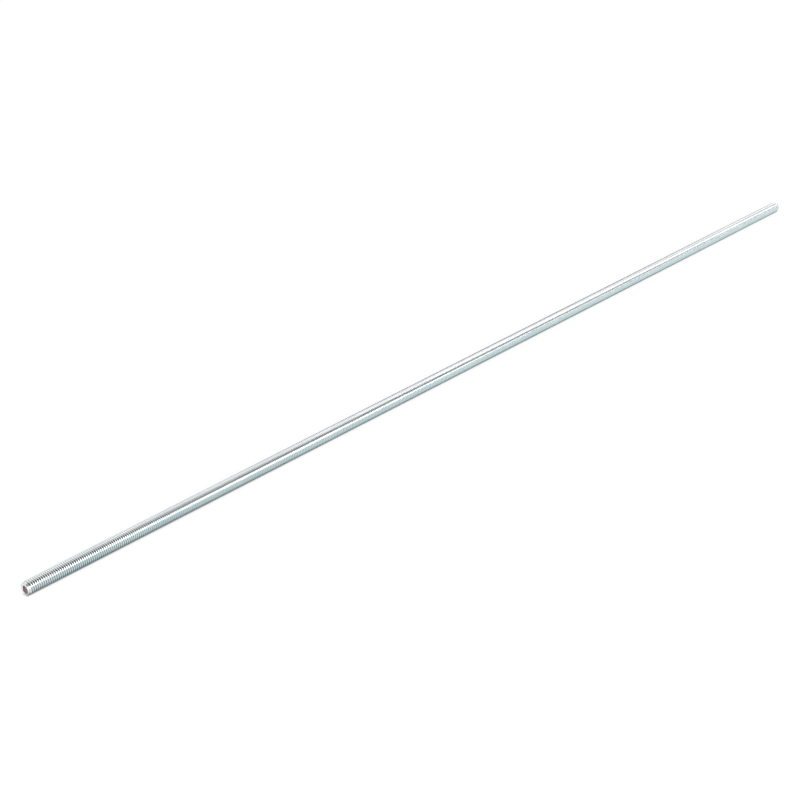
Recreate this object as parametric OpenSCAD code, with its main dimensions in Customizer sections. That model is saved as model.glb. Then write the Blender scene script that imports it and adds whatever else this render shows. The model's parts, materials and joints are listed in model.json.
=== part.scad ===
// Fully threaded steel rod, lying along X with one cut end at each side of the YZ plane.
// The origin is on the rod's axis, halfway along it. Lengths are millimetres.

/* [Rod] */
// Length over both end faces
rod_length = 914.4; // [50:0.1:1000]
// Diameter over the thread crests
major_d = 9.525; // [8:0.005:16]

/* [Thread] */
// Distance from one crest to the next
pitch = 1.5875; // [1.25:0.0005:2.5]
// Angle between the two flanks of a groove
flank_angle = 60; // [55:1:65]
// Width of the flat along each crest
crest_flat = 0.198; // [0.1:0.001:0.3]
// Width of the floor of each groove
root_flat = 0.265; // [0.15:0.001:0.4]

/* [Ends] */
// Length of the taper that leads a nut on
lead_in = 2.2; // [0.8:0.1:4]
// Diameter of the cut face inside the taper
face_d = 8.1; // [7:0.1:9]
// Diameter of the dimple that cutting leaves in the face
dimple_d = 5.2; // [2:0.1:6.5]
// Depth of that dimple
dimple_depth = 0.7; // [0.2:0.05:1.5]

/* [Hidden] */

major_r = major_d / 2;
half_length = rod_length / 2;
// Depth of a groove, from its two flats and the slope of its flanks
groove_depth = (pitch - crest_flat - root_flat) / 2 / tan(flank_angle / 2);
minor_r = major_r - groove_depth;
// Whole turns that fit on the rod, laid out evenly about its middle
turns = floor(rod_length / pitch);
first_crest = -turns * pitch / 2;

// The sections below are points of [radius, place along the rod], on one side of the axis.

// One groove, from the middle of a crest at the given place to the next crest
function groove(place) = [
    [major_r, place + crest_flat / 2],
    [minor_r, place + (pitch - root_flat) / 2],
    [minor_r, place + (pitch + root_flat) / 2],
    [major_r, place + pitch - crest_flat / 2],
];

// The whole rod's section, square at its ends, with a groove for every turn
module grooved_section() {
    grooves = [for (turn = [0 : turns - 1]) each groove(first_crest + turn * pitch)];
    polygon(concat(
        [[0, -half_length], [major_r, -half_length]],
        grooves,
        [[major_r, half_length], [0, half_length]]
    ));
}

// What the cut and tapered ends leave of a plain bar
module tapered_section() {
    polygon([
        [0, -half_length],
        [face_d / 2, -half_length],
        [major_r, -half_length + lead_in],
        [major_r, half_length - lead_in],
        [face_d / 2, half_length],
        [0, half_length],
    ]);
}

// The cone that is sunk in the middle of one end face
module dimple_section() {
    polygon([
        [0, half_length],
        [dimple_d / 2, half_length],
        [0, half_length - dimple_depth],
    ]);
}

module threaded_rod() {
    color("lightsteelblue")
        rotate([0, 90, 0])
            rotate_extrude($fn = 96)
                difference() {
                    intersection() {
                        grooved_section();
                        tapered_section();
                    }
                    dimple_section();
                    mirror([0, 1]) dimple_section();
                }
}

threaded_rod();
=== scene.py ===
# %% [markdown]
# A zinc-plated steel rod that is threaded from end to end, built for a close look in Blender.
#
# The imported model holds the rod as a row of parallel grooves, which is exact enough to fasten things to.
# A real thread is one groove that winds along the whole rod, and light shows the difference at once,
# because each crest leans. This lesson makes the winding thread, cuts the rod's ends the way a workshop
# does, and plates it with zinc.

import json
import math

import bmesh
import bpy
from mathutils import Matrix, Vector


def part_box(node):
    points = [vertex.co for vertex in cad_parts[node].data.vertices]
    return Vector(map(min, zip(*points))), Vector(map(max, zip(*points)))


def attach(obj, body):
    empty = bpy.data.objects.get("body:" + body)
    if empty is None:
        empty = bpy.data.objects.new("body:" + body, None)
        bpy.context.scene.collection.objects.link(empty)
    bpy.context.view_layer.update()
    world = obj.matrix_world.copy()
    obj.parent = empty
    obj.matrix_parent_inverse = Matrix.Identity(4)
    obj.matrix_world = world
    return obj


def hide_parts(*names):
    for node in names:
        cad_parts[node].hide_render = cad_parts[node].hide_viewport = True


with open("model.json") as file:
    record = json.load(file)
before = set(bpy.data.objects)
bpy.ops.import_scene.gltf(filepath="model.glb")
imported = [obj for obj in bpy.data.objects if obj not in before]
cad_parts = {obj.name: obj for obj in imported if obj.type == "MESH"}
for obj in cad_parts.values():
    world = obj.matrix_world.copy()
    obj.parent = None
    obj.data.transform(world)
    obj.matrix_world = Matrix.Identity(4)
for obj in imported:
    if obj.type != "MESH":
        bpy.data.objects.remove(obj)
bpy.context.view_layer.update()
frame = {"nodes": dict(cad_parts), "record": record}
print("packed nodes:", sorted(frame["nodes"]))

# %% [markdown]
# Sizes first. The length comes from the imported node, and the crest radius from the thread's mount,
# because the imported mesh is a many-sided prism whose flats lie a little inside the true circle. The rest
# are the sizes of the standard thread: sixteen turns to the inch, flanks at 60 degrees to each other,
# and small flats on the crests and in the roots. Everything is in metres.

# %% The rod's sizes
ROD = "threaded_rod"
INCH = 0.0254
TURNS_PER_INCH = 16
low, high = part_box(ROD)
half_length = (high.x - low.x) / 2
thread_mount = next(m for m in frame["record"]["mounts"] if m["name"] == "thread")
crest_radius = thread_mount["dims"]["r_mm"] / 1000
pitch = INCH / TURNS_PER_INCH
crest_flat = 0.198e-3
root_flat = 0.265e-3
flank_angle = math.radians(60)
groove_depth = (pitch - crest_flat - root_flat) / 2 / math.tan(flank_angle / 2)
root_radius = crest_radius - groove_depth
lead_in = 2.2e-3
face_radius = 4.05e-3
dimple_radius = 2.6e-3
dimple_depth = 0.7e-3
print(f"length {half_length * 2000:.1f} mm, crests {crest_radius * 2000:.3f} mm across,"
      f" groove {groove_depth * 1000:.3f} mm deep")

# %% [markdown]
# A thread could be swept along a helix curve, or made with the Screw modifier. Here one turn is spun by
# hand: the outline of one groove, from the start of one crest to the start of the next, turns once about
# the rod while every step also slides along it. After a full turn the outline has moved by exactly one
# pitch, so its end meets its own start one groove further on. That is what lets the next step repeat it.
# Turning and sliding the same way round as the right-hand rule makes a right-hand thread.

# %% Spin one turn of the thread
STEPS = 38  # straight steps in a turn
SPARE_TURNS = 2  # one past each end
turns = math.ceil(2 * half_length / pitch) + SPARE_TURNS
first_crest = -turns / 2 * pitch


def new_object(name, mesh):
    piece = bpy.data.objects.new(name, mesh)
    bpy.context.scene.collection.objects.link(piece)
    return piece


def mesh_from(shape, name):
    mesh = bpy.data.meshes.new(name)
    shape.to_mesh(mesh)
    shape.free()
    return mesh


def open_outline(shape, outline):
    """Adds points of (place along the rod, radius) above the axis, joined in a row."""
    verts = [shape.verts.new((along, 0, radius)) for along, radius in outline]
    edges = [shape.edges.new(pair) for pair in zip(verts, verts[1:])]
    return verts + edges


def spin_one_turn():
    shape = bmesh.new()
    groove = open_outline(shape, [
        (first_crest - crest_flat / 2, crest_radius),
        (first_crest + crest_flat / 2, crest_radius),
        (first_crest + (pitch - root_flat) / 2, root_radius),
        (first_crest + (pitch + root_flat) / 2, root_radius),
        (first_crest + pitch - crest_flat / 2, crest_radius),
    ])
    bmesh.ops.spin(
        shape, geom=groove, cent=(0, 0, 0), axis=(1, 0, 0), dvec=(pitch / STEPS, 0, 0),
        angle=2 * math.pi, steps=STEPS, use_merge=False,
    )
    return new_object("one_turn", mesh_from(shape, "one_turn"))


one_turn = spin_one_turn()
print("one turn has", len(one_turn.data.polygons), "faces")

# %% [markdown]
# Rolled bar is made longer than it is sold, and then cut. The model follows that order. An Array
# modifier lays the turn end to end until it is a pitch too long on both sides, and the seams are merged.
# Each open end is then closed with a fan of triangles about the axis, so that the bar is a solid that
# can be cut.

# %% Repeat the turn and close the bar
seam_gap = pitch / 100


def finished_mesh(piece, name):
    """The mesh of a piece with its modifiers applied."""
    graph = bpy.context.evaluated_depsgraph_get()
    mesh = bpy.data.meshes.new_from_object(piece.evaluated_get(graph))
    mesh.name = name
    return mesh


def discard(*pieces):
    for piece in pieces:
        mesh = piece.data
        bpy.data.objects.remove(piece)
        bpy.data.meshes.remove(mesh)


def long_bar():
    repeat = one_turn.modifiers.new("turns", "ARRAY")
    repeat.count = turns
    repeat.use_relative_offset = False
    repeat.use_constant_offset = True
    repeat.constant_offset_displace = (pitch, 0, 0)
    shape = bmesh.new()
    shape.from_mesh(finished_mesh(one_turn, "turns"))
    bmesh.ops.remove_doubles(shape, verts=shape.verts, dist=seam_gap)
    rims = [edge for edge in shape.edges if edge.is_boundary]
    caps = bmesh.ops.edgeloop_fill(shape, edges=rims)["faces"]
    bmesh.ops.poke(shape, faces=caps)
    bmesh.ops.recalc_face_normals(shape, faces=shape.faces)
    for face in shape.faces:
        face.smooth = True
    print("bar:", turns, "turns,", len(shape.faces), "faces,",
          sum(not edge.is_manifold for edge in shape.edges), "open edges")
    return new_object("bar", mesh_from(shape, "bar"))


bar = long_bar()
discard(one_turn)

# %% [markdown]
# The cut ends are not square blocks. A long shallow taper leads the nut on, and the middle of the face
# is hollow, because rolling a thread drives the outer metal lengthways past the core. So the cutter is a
# turned envelope: a plain bar with tapered ends and a round hollow in each, a little thicker than the
# crests where it must not touch them. The rim between face and taper is bevelled by a hair, since no cut
# edge is perfectly sharp, and that hair catches the light.

# %% Turn the envelope of a cut rod
ENVELOPE_STEPS = 72
HOLLOW_STEPS = 6
SPARE = 0.5e-3  # how far the envelope clears the crests
RIM_ROUND = 0.12e-3
SAME_PLACE = 1e-7  # points nearer than this are one point
ON_THE_RIM = 1e-6


def hollow(count):
    """Points down one side of a round hollow, from its lip to its middle, as (depth, radius)."""
    ball = (dimple_radius ** 2 + dimple_depth ** 2) / (2 * dimple_depth)
    lip_angle = math.asin(dimple_radius / ball)
    angles = [lip_angle * (1 - step / count) for step in range(count + 1)]
    return [(dimple_depth - ball * (1 - math.cos(a)), ball * math.sin(a)) for a in angles]


def envelope():
    taper_slope = (crest_radius - face_radius) / lead_in
    past_crests = lead_in + SPARE / taper_slope
    side = [(-half_length + depth, radius) for depth, radius in reversed(hollow(HOLLOW_STEPS))]
    side += [(-half_length, face_radius), (-half_length + past_crests, crest_radius + SPARE)]
    outline = side + [(-along, radius) for along, radius in reversed(side)]
    shape = bmesh.new()
    section = open_outline(shape, outline)
    bmesh.ops.spin(
        shape, geom=section, cent=(0, 0, 0), axis=(1, 0, 0), dvec=(0, 0, 0),
        angle=2 * math.pi, steps=ENVELOPE_STEPS, use_merge=True,
    )
    bmesh.ops.remove_doubles(shape, verts=shape.verts, dist=SAME_PLACE)
    bmesh.ops.recalc_face_normals(shape, faces=shape.faces)
    rims = [
        edge for edge in shape.edges
        if all(abs(math.hypot(v.co.y, v.co.z) - face_radius) < ON_THE_RIM for v in edge.verts)
    ]
    bmesh.ops.bevel(
        shape, geom=rims, offset=RIM_ROUND, segments=2, profile=0.5, material=-1, affect="EDGES",
    )
    print("envelope:", len(shape.faces), "faces, rims bevelled:", len(rims))
    return new_object("envelope", mesh_from(shape, "envelope"))


# %% [markdown]
# A finish that is baked into a picture needs its surface laid out flat.
# Unwrapping tools would cut a thread into thousands of scraps. A rod unrolls by plain sums: the place
# along it gives one direction and the angle about it the other. A rod this long would make one very thin
# strip, so it is folded into six, one above the other, with the two end faces as discs in a row of their
# own.

# %% Unroll the rod for baking
STRIPS = 6
EDGE_GAP = 0.02
DISC_RADIUS = 0.45  # of a row's height
FACES_OUT = 0.8  # how far a face must point along the rod to count as part of its end


def unroll(shape):
    """Lays the surface out flat, in a UV layer for baking."""
    layer = shape.loops.layers.uv.new("OFBake")
    strip_length = 2 * half_length / STRIPS
    rows = STRIPS + 1

    def inside(share):
        return EDGE_GAP + share * (1 - 2 * EDGE_GAP)

    for face in shape.faces:
        middle = face.calc_center_median()
        strip = min(int((middle.x + half_length) / strip_length), STRIPS - 1)
        start = strip * strip_length - half_length
        turned = math.atan2(middle.z, middle.y)
        in_reach = abs(middle.x) > half_length - dimple_depth - ON_THE_RIM
        at_end = in_reach and abs(face.normal.x) > FACES_OUT
        for loop in face.loops:
            spot = loop.vert.co
            if at_end:
                disc = 0.5 + (0.5 if middle.x > 0 else -0.5) * (rows - 1) / rows
                u = disc + DISC_RADIUS * spot.y / face_radius / rows
                v = (rows - 0.5 + DISC_RADIUS * spot.z / face_radius) / rows
            else:
                swing = math.remainder(math.atan2(spot.z, spot.y) - turned, 2 * math.pi)
                u = inside((spot.x - start) / strip_length)
                v = (strip + inside((turned + swing) / (2 * math.pi) + 0.5)) / rows
            loop[layer].uv = (u, v)


# %% [markdown]
# A Boolean modifier keeps what the bar and the envelope share. The crests fade into the taper by
# themselves, as they do under a lathe tool, with no vertex placed by hand. Before the cut every face of
# the bar was marked smooth and every face of the envelope flat, and the marks outlast the cut, so they
# tell which faces the cutting made.
#
# Shading comes next. A rolled thread has soft crests and rounded roots, since the metal flowed there,
# while an edge that was cut is crisp. So only the cut's own edges are sharp. The rest is smooth, with
# each corner's normal taken mostly from the larger face beside it: the flanks stay true, and the narrow
# flats at crest and root turn the light from one flank to the other, as if they were round.

# %% Cut the rod to length
CRISP = math.radians(15)
LARGER_FACE = 60  # how strongly the larger face beside a corner turns its normal, out of 100


def cut_rod():
    cutter = envelope()
    cut = bar.modifiers.new("cut", "BOOLEAN")
    cut.operation = "INTERSECT"
    cut.solver = "MANIFOLD"
    cut.object = cutter
    shape = bmesh.new()
    shape.from_mesh(finished_mesh(bar, "cut"))
    discard(bar, cutter)
    bmesh.ops.dissolve_degenerate(shape, edges=shape.edges, dist=SAME_PLACE)
    for edge in shape.edges:
        rolled = [face.smooth for face in edge.link_faces]
        edge.smooth = all(rolled) or (not any(rolled) and edge.calc_face_angle() < CRISP)
    for face in shape.faces:
        face.smooth = True
    unroll(shape)
    triangles = sum(len(face.verts) - 2 for face in shape.faces)
    print("rod:", triangles, "triangles,", sum(not e.is_manifold for e in shape.edges), "open edges,",
          f"{shape.calc_volume() * 1e9:.0f} mm3")
    return new_object("rolled_thread", mesh_from(shape, "rolled_thread"))


rod = cut_rod()
round_off = rod.modifiers.new("round_off", "WEIGHTED_NORMAL")
round_off.mode = "FACE_AREA"
round_off.weight = LARGER_FACE
round_off.keep_sharp = True
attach(rod, "root")
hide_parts(ROD)

# %% [markdown]
# Shader maths reads best as plain arithmetic. This small class wraps a socket, and each operator on it
# adds the Math node that does the sum. One more function makes any other node: it takes the node's type,
# its settings, and what goes into its sockets.

# %% A short way to write shader nodes


def add_node(tree, kind, settings=None, inputs=None):
    node = tree.nodes.new(kind)
    for name, value in (settings or {}).items():
        setattr(node, name, value)
    for name, value in (inputs or {}).items():
        if isinstance(value, Signal):
            tree.links.new(value.socket, node.inputs[name])
        else:
            node.inputs[name].default_value = value
    return node


class Signal:
    """A socket whose numbers can be added, multiplied and so on."""

    def __init__(self, tree, socket):
        self.tree = tree
        self.socket = socket

    def math(self, operation, *others):
        terms = dict(enumerate((self, *others)))
        node = add_node(self.tree, "ShaderNodeMath", {"operation": operation}, terms)
        return Signal(self.tree, node.outputs[0])

    def __add__(self, other):
        return self.math("ADD", other)

    def __mul__(self, other):
        return self.math("MULTIPLY", other)

    def __sub__(self, other):
        return self.math("SUBTRACT", other)

    def __rsub__(self, other):
        return (self * -1) + other

    __radd__ = __add__
    __rmul__ = __mul__

    def ramp(self, start, end):
        """0 below start, 1 above end, and smooth between them."""
        settings = {"interpolation_type": "SMOOTHSTEP"}
        inputs = {"Value": self, "From Min": start, "From Max": end}
        node = add_node(self.tree, "ShaderNodeMapRange", settings, inputs)
        return Signal(self.tree, node.outputs["Result"])


def new_finish(name):
    material = bpy.data.materials.new(name)
    material.use_nodes = True
    material.node_tree.nodes.clear()
    return material, material.node_tree


def mix_colours(tree, share, first, second):
    """first where share is 0, second where it is 1."""
    # Several sockets of the Mix node share a name, so its colours are found by number.
    inputs = {0: share, 6: first, 7: second}
    node = add_node(tree, "ShaderNodeMix", {"data_type": "RGBA"}, inputs)
    return Signal(tree, node.outputs[2])


# %% [markdown]
# Bright zinc is a cool, pale metal that is never even. The bath leaves clouds a few centimetres long,
# slightly bluer or greyer than their neighbours. Zinc is thinner and duller down in the roots, and
# handling polishes the crests. The roots are also painted much darker than the crests, as painted shade
# in the grooves. The hollow in each cut face hardly takes any plate, so a ragged patch of bare steel
# shows there, a greyish brown, and it sits a little to one side. Its rim is painted dark as painted shade
# in the hollow, and darker on one side as a painted shadow. All of that follows from where a point lies on
# the rod: its distance from the axis tells crest from root, and its place along the rod tells the cut ends
# from the thread, so a few ramps on those numbers place every change.

# %% Zinc plate
PALE_ZINC = (0.72, 0.745, 0.745, 1)
BLUE_ZINC = (0.67, 0.71, 0.72, 1)
# Painted shade: the roots get a much darker zinc, which stands in for the shade deep in the grooves as
# well as for duller zinc.
DULL_SHADED_ROOT_ZINC = (0.38, 0.405, 0.41, 1)
BARE_STEEL = (0.22, 0.165, 0.155, 1)
# Painted shade: a near-black rim round the bare patch, standing in for the shade under the hollow's lip.
PAINTED_LIP_SHADE = (0.07, 0.075, 0.075, 1)
CLOUD_SCALE = 28
GRAIN_SCALE = 2600
GRAIN_DEPTH = 0.03e-3
GRAIN_STRENGTH = 0.12
TORN_SCALE = 900
TORN_EDGE = 0.9e-3  # how far the patch's edge wanders
PATCH_OFF_Y = 0.7e-3
PATCH_OFF_Z = 0.45e-3
SHADE_REACH = 1e-3  # from the middle to where one side of the hollow is fully dark


def zinc_plate():
    material, tree = new_finish("zinc_plate")
    place = Signal(tree, add_node(tree, "ShaderNodeTexCoord").outputs["Object"])
    split = add_node(tree, "ShaderNodeSeparateXYZ", inputs={"Vector": place})
    along = Signal(tree, split.outputs["X"]).math("ABSOLUTE")
    across, up = Signal(tree, split.outputs["Y"]), Signal(tree, split.outputs["Z"])
    radius = (across * across + up * up).math("SQRT")

    def noise(scale, detail=2.0, roughness=0.5):
        inputs = {"Vector": place, "Scale": scale, "Detail": detail, "Roughness": roughness}
        return Signal(tree, add_node(tree, "ShaderNodeTexNoise", inputs=inputs).outputs["Fac"])

    clouds = noise(CLOUD_SCALE, 3).ramp(0.35, 0.65)
    grains = noise(GRAIN_SCALE, 2)
    turned_end = along.ramp(half_length - lead_in, half_length - lead_in * 0.6)
    # Painted shade in the grooves: depth darkens the colour towards the root, except on the tapered
    # lead-in.
    depth = (1 - radius.ramp(root_radius, crest_radius - groove_depth * 0.15)) * (1 - turned_end)
    cut_face = along.ramp(half_length - dimple_depth * 1.3, half_length - dimple_depth * 1.1)
    off_y, off_z = across + PATCH_OFF_Y, up + PATCH_OFF_Z
    from_patch = (off_y * off_y + off_z * off_z).math("SQRT")
    patch = from_patch + (noise(TORN_SCALE, 3) - 0.5) * TORN_EDGE
    bare = (1 - patch.ramp(dimple_radius * 1.02, dimple_radius * 1.16)) * cut_face
    # Painted shadow: the dark rim at the hollow's lip is stronger on the side towards +Y and +Z.
    shaded_side = (across + up).ramp(-SHADE_REACH, SHADE_REACH)
    painted_lip_shade = patch.ramp(dimple_radius * 0.6, dimple_radius * 0.85) * (0.4 + shaded_side * 0.6)

    colour = mix_colours(tree, clouds, PALE_ZINC, BLUE_ZINC)
    colour = mix_colours(tree, depth * 0.85, colour, DULL_SHADED_ROOT_ZINC)
    # steel is the bare steel with the painted shade of the lip mixed in.
    steel = mix_colours(tree, painted_lip_shade, BARE_STEEL, PAINTED_LIP_SHADE)
    colour = mix_colours(tree, bare, colour, steel)
    roughness = 0.12 + clouds * 0.04 + depth * 0.06 + grains * 0.04 + cut_face * 0.12 + bare * 0.15
    bump = add_node(tree, "ShaderNodeBump", inputs={
        "Strength": GRAIN_STRENGTH, "Distance": GRAIN_DEPTH, "Height": grains,
    })
    shader = add_node(tree, "ShaderNodeBsdfPrincipled", inputs={
        "Base Color": colour, "Roughness": roughness, "Metallic": 1.0,
        "Normal": Signal(tree, bump.outputs["Normal"]),
    })
    add_node(tree, "ShaderNodeOutputMaterial", inputs={"Surface": Signal(tree, shader.outputs[0])})
    return material


rod.data.materials.append(zinc_plate())
print("finish:", rod.data.materials[0].name)

# %% [markdown]
# The studio is a pale floor under soft light. The floor carries the rod's soft shadow. Whatever looks at
# the floor directly, or sees it mirrored in the metal, also sees it glow a little, which lifts it to
# white. That glow fades out close to the rod, because no light gets in where a round bar touches a
# table, and the dark line that is left is what sets the bar down. The metal sees a slightly blue-green
# floor, which gives the lower half of the rod its cool tint. The world beyond the floor is white in the
# same way.

# %% Floor and world
FLOOR_REACH = 9.0
WHITE = (1, 1, 1, 1)
PAPER_GREY = (0.45, 0.45, 0.45, 1)
COOL_FLOOR = (0.72, 0.97, 1.0, 1)
CRACK_GLOW, FLOOR_GLOW, FAR_GLOW = 0.04, 0.66, 0.3  # as the camera sees the floor
NEAR_MIRRORED, OPEN_MIRRORED = 0.72, 0.2  # as the metal sees it
FAR_STARTS, FAR_ENDS = 1.0, 5.0
ROOM_LIGHT = 0.55  # how strongly the white room lights things


def ray_kinds(tree, *kinds):
    """1 for the rays of these kinds, and 0 for the rest."""
    path = add_node(tree, "ShaderNodeLightPath")
    chosen = [Signal(tree, path.outputs[f"Is {kind} Ray"]) for kind in kinds]
    total = chosen[0]
    for one in chosen[1:]:
        total = total.math("MAXIMUM", one)
    return total


def floor_paint():
    material, tree = new_finish("floor_paint")
    place = Signal(tree, add_node(tree, "ShaderNodeTexCoord").outputs["Object"])
    split = add_node(tree, "ShaderNodeSeparateXYZ", inputs={"Vector": place})
    along, beside = (Signal(tree, split.outputs[axis]).math("ABSOLUTE") for axis in "XY")
    beyond = along.ramp(half_length - crest_radius * 0.3, half_length + crest_radius * 0.3)
    lit = beside.ramp(crest_radius * 0.5, crest_radius * 1.4).math("MAXIMUM", beyond)
    open_floor = beside.ramp(crest_radius * 2.5, crest_radius * 6)
    crack = beside.ramp(crest_radius * 0.25, crest_radius * 0.7).math("MAXIMUM", beyond)
    far = along.math("MAXIMUM", beside).ramp(FAR_STARTS, FAR_ENDS)
    mirrored = ray_kinds(tree, "Glossy", "Transmission")
    glow = ray_kinds(tree, "Camera") * (CRACK_GLOW + crack * FLOOR_GLOW + far * FAR_GLOW)
    glow = glow + mirrored * (lit * NEAR_MIRRORED + open_floor * OPEN_MIRRORED)
    cool = mirrored * (1 - beyond) * (1 - open_floor * 0.4)
    tint = mix_colours(tree, cool, WHITE, COOL_FLOOR)
    paint = add_node(tree, "ShaderNodeBsdfDiffuse", inputs={"Color": PAPER_GREY})
    light = add_node(tree, "ShaderNodeEmission", inputs={"Color": tint, "Strength": glow})
    both = add_node(tree, "ShaderNodeAddShader", inputs={
        0: Signal(tree, paint.outputs[0]), 1: Signal(tree, light.outputs[0]),
    })
    add_node(tree, "ShaderNodeOutputMaterial", inputs={"Surface": Signal(tree, both.outputs[0])})
    return material


def lay_floor():
    shape = bmesh.new()
    bmesh.ops.create_grid(shape, x_segments=1, y_segments=1, size=FLOOR_REACH)
    bmesh.ops.translate(shape, verts=shape.verts, vec=(0, 0, -crest_radius))
    floor = new_object("studio_floor", mesh_from(shape, "studio_floor"))
    floor.data.materials.append(floor_paint())


def white_world():
    world = bpy.data.worlds.new("studio_white")
    world.use_nodes = True
    tree = world.node_tree
    tree.nodes.clear()
    level = ROOM_LIGHT + ray_kinds(tree, "Camera", "Glossy", "Transmission") * (1 - ROOM_LIGHT)
    white = add_node(tree, "ShaderNodeBackground", inputs={"Color": WHITE, "Strength": level})
    add_node(tree, "ShaderNodeOutputWorld", inputs={"Surface": Signal(tree, white.outputs[0])})
    bpy.context.scene.world = world


lay_floor()
white_world()

# %% [markdown]
# Metal shows its surroundings more than its own colour. In an all-white room a plated rod would look
# like paper, so photographers stand dark cards round it, called flags, and let soft boxes and flags draw
# bright and dark bands along it. Each one here is placed by its direction from the rod, as an azimuth
# from +X and an elevation, with its width and height as angles too. The flags show only in reflections:
# the camera doesn't see them and they cast no shadow. A soft box is a lamp, and its light is added to the
# white room behind it, so a box can only brighten its part of the metal. Every dark band takes a flag.
# The sizes and strengths were set render by render.

# %% Dark flags and soft boxes
FAR_OFF = 6.0


def place_card(azimuth, elevation):
    a, e = math.radians(azimuth), math.radians(elevation)
    outward = Vector((math.cos(e) * math.cos(a), math.cos(e) * math.sin(a), math.sin(e)))
    look = (-outward).to_track_quat("-Z", "Y")
    return Matrix.Translation(outward * FAR_OFF) @ look.to_matrix().to_4x4()


def span(angle):
    return 2 * FAR_OFF * math.tan(math.radians(angle) / 2)


def flag_cloth(name, shade):
    material, tree = new_finish(name)
    cloth = add_node(tree, "ShaderNodeEmission", inputs={"Color": (*shade, 1), "Strength": 1.0})
    add_node(tree, "ShaderNodeOutputMaterial", inputs={"Surface": Signal(tree, cloth.outputs[0])})
    return material


def card_at(name, place, width, height, shade):
    shape = bmesh.new()
    bmesh.ops.create_grid(shape, x_segments=1, y_segments=1, size=0.5)
    bmesh.ops.scale(shape, verts=shape.verts, vec=(width, height, 1))
    bmesh.ops.transform(shape, verts=shape.verts, matrix=place)
    card = new_object(name, mesh_from(shape, name))
    card.data.materials.append(flag_cloth(name + "_cloth", shade))
    card.visible_camera = False
    card.visible_diffuse = False
    card.visible_shadow = False


def flag(name, azimuth, elevation, width, height, shade):
    card_at(name, place_card(azimuth, elevation), span(width), span(height), shade)


def soft_box(name, azimuth, elevation, width, height, brightness):
    lamp = bpy.data.lights.new(name, "AREA")
    lamp.shape = "RECTANGLE"
    lamp.size = span(width)
    lamp.size_y = span(height)
    lamp.energy = brightness * math.pi * lamp.size * lamp.size_y
    new_object(name, lamp).matrix_world = place_card(azimuth, elevation)


BLACK_CLOTH = (0.05, 0.05, 0.05)
flag("flag_overhead", 240, 70, 56, 46, (0.25, 0.25, 0.25))
flag("flag_right_high", 290, 46, 24, 22, BLACK_CLOTH)
flag("flag_far_right_high", 322, 48, 22, 22, (0.5, 0.5, 0.5))
flag("flag_left", 106, 23, 28, 22, BLACK_CLOTH)
flag("flag_behind_right", 20, 25.5, 42, 17, (0.45, 0.45, 0.45))
flag("flag_behind_left", 65, 25.5, 42, 17, (0.45, 0.45, 0.45))
flag("flag_beside_camera", 198, 24.5, 26, 20, (0.3, 0.3, 0.3))
flag("flag_at_camera", 225, 20.5, 28, 7, (0.15, 0.15, 0.15))
flag("flag_low_left", 168, 7, 18, 12, (0.25, 0.25, 0.25))
flag("flag_low_camera", 225, 2.4, 28, 5, BLACK_CLOTH)
flag("flag_low_right", 305, 3, 60, 6, (0.15, 0.15, 0.15))
soft_box("key_box", 270, 20, 56, 27, 2.5)
soft_box("camera_box", 225, 29, 28, 8, 0.5)
soft_box("rear_box_right", 225, 40, 23, 12, 1.4)
soft_box("rear_box_middle", 195, 40, 23, 12, 1.5)
soft_box("rear_box_left", 165, 40, 23, 12, 0.9)
soft_box("left_box_high", 134, 54, 18, 14, 0.95)
soft_box("left_box_low", 135.5, 25, 28, 18, 0.4)
soft_box("low_box_left", 198.5, 8.5, 24, 12, 2.5)
soft_box("low_box_right", 225, 11, 28, 11, 0.5)

# %% [markdown]
# The camera stands near the rod's near end and looks down along it, so the rod runs away from the lower
# left of the picture to the upper right and its far end is less than two thirds as wide. The place and
# angles were solved from the photograph: from the two edges' vanishing point, the shrinking gaps between
# the turns and how round the end face looks.

# %% The camera
PICTURE_PIXELS = 800
SENSOR_WIDTH = 36
focal_pixels = 1550
camera_place = Vector((-0.8943, -0.7146, 0.5545))
looks_down = math.radians(27.64)
heading = math.radians(42.26)  # from +X, towards +Y

camera = new_object("camera", bpy.data.cameras.new("camera"))
camera.data.sensor_width = SENSOR_WIDTH
camera.data.lens = SENSOR_WIDTH * focal_pixels / PICTURE_PIXELS
turn = Matrix.Rotation(heading - math.pi / 2, 4, "Z") @ Matrix.Rotation(math.pi / 2 - looks_down, 4, "X")
camera.matrix_world = Matrix.Translation(camera_place) @ turn
bpy.context.scene.camera = camera
bpy.context.scene.view_settings.view_transform = "Standard"
print(f"lens {camera.data.lens:.2f} mm")
